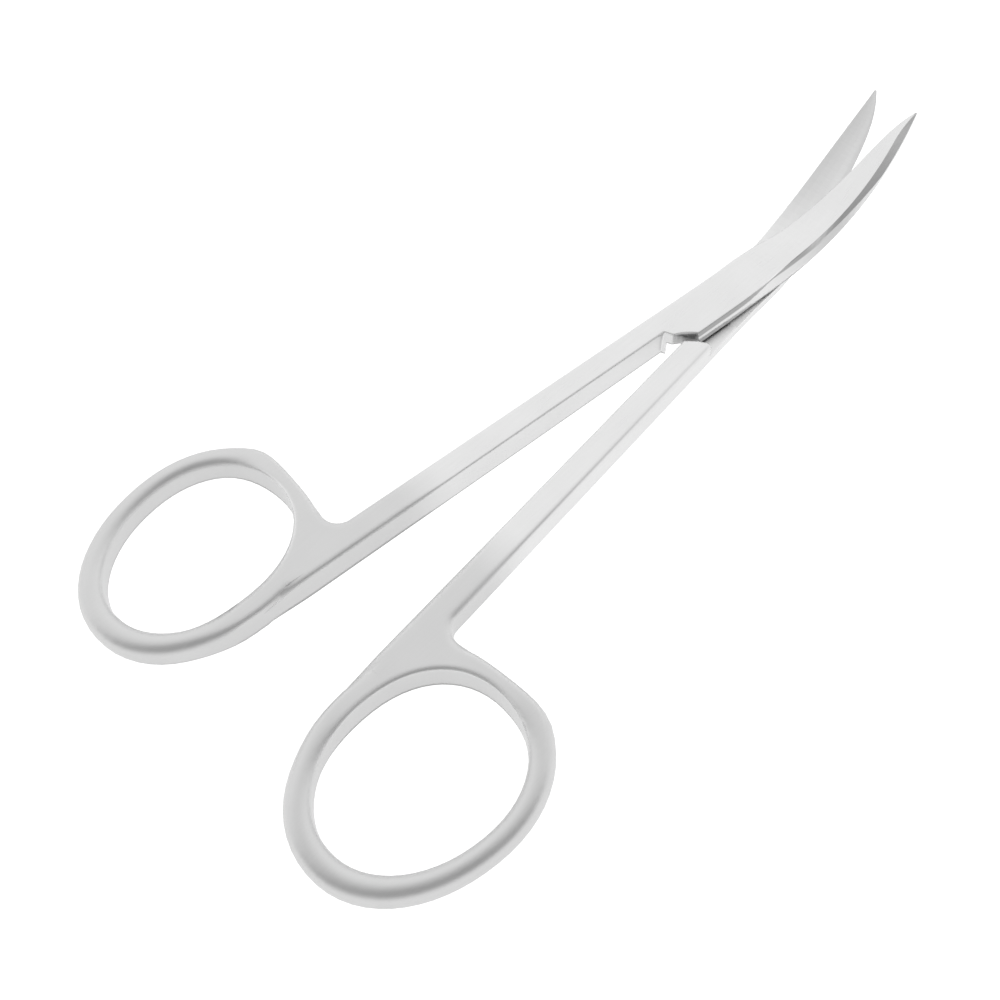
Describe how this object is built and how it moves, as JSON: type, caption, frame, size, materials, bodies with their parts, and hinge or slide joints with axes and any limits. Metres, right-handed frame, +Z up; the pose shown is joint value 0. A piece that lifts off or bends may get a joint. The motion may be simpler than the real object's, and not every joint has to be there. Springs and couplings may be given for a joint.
{
  "type": "curved iris scissors",
  "caption": "Fine surgical scissors with curved pointed blades, oval finger rings and a screwed lap joint, lying slightly open.",
  "frame": {"origin": "middle of the footprint, on the surface that the scissors lie on", "axes": "+Y toward the blade tips, +X to the right seen from above, +Z up; the blades bend up"},
  "size_m": [0.0596, 0.115, 0.0153],
  "materials": {
    "satin_steel": "satin stainless steel with polished outer edges",
    "screw_steel": "satin stainless steel, turned and slotted"
  },
  "bodies": {
    "lower": {"lower_half": "satin_steel"},
    "upper": {"upper_half": "satin_steel", "pivot_screw": "screw_steel"}
  },
  "joints": [
    {"name": "blade_hinge", "type": "hinge", "parent": "lower", "child": "upper", "pos_m": [0, 0.02191, 0], "axis": [0, 0, -1], "range_deg": [-11.2, 98]}
  ]
}
